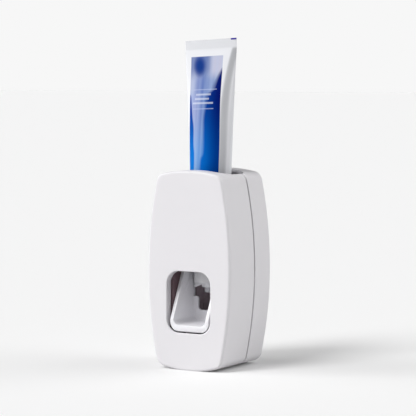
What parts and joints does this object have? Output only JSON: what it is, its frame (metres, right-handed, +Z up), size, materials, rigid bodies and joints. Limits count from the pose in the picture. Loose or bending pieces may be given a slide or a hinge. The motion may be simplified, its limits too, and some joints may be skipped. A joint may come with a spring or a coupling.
{
  "type": "toothpaste dispenser",
  "caption": "Hands-free toothpaste dispenser: a barrel-shaped two-part casing with a brush window, a swinging pusher lever that works a pump, and a loaded tube standing in the top.",
  "frame": {"origin": "on the standing surface, below the middle of the body", "axes": "+Z up along the tube, -Y out of the front face with the brush window, +X to the right seen from the front"},
  "size_m": [0.0704, 0.0628, 0.2487],
  "materials": {
    "shell_white": "satin moulded ABS",
    "lever_grey": "satin moulded ABS",
    "pump_grey": "satin moulded polypropylene",
    "frame_taupe": "matt moulded ABS",
    "silicone_grey": "matt silicone",
    "steel": "plain",
    "foam_pad": "closed-cell foam tape",
    "bumper_rubber": "matt",
    "tube_laminate": "printed laminate",
    "tube_cap_white": "gloss"
  },
  "bodies": {
    "chassis": {"rear_shell": "shell_white", "mechanism_frame": "frame_taupe", "frame_screws": "steel", "pump_housing": "pump_grey", "pump_screws": "steel", "tube_seat": "silicone_grey", "seat_retainer": "pump_grey", "inlet_valve": "silicone_grey", "pump_diaphragm": "silicone_grey", "diaphragm_clamp": "pump_grey", "return_spring": "steel", "valve_retainer": "pump_grey", "outlet_valve": "silicone_grey", "pivot_pin_left": "steel", "pivot_pin_right": "steel", "lever_bumper": "bumper_rubber", "adhesive_pads": "foam_pad"},
    "lever": {"pusher_lever": "lever_grey"},
    "press": {"plunger": "pump_grey"},
    "cover": {"front_shell": "shell_white"},
    "tube": {"tube_sleeve": "tube_laminate", "tube_shoulder": "tube_cap_white"}
  },
  "joints": [
    {"name": "lever_push", "type": "hinge", "parent": "chassis", "child": "lever", "pos_m": [0, 0.002, 0.077], "axis": [1, 0, 0], "range_deg": [0, 12], "stiffness_Nm_per_rad": 0.3, "springref_deg": -14.32},
    {"name": "plunger_press", "type": "slide", "parent": "chassis", "child": "press", "axis": [0, -1, 0], "range_m": [0, 0.0025], "deforming": ["return_spring", "pump_diaphragm"]},
    {"name": "cover_release", "type": "slide", "parent": "chassis", "child": "cover", "axis": [0, -1, 0], "range_m": [0, 0.05]},
    {"name": "tube_lift", "type": "slide", "parent": "chassis", "child": "tube", "axis": [0, 0, 1], "range_m": [0, 0.06]}
  ],
  "couplings": [
    {"joint": "plunger_press", "follows": "lever_push", "m_per_rad": 0.01144}
  ]
}
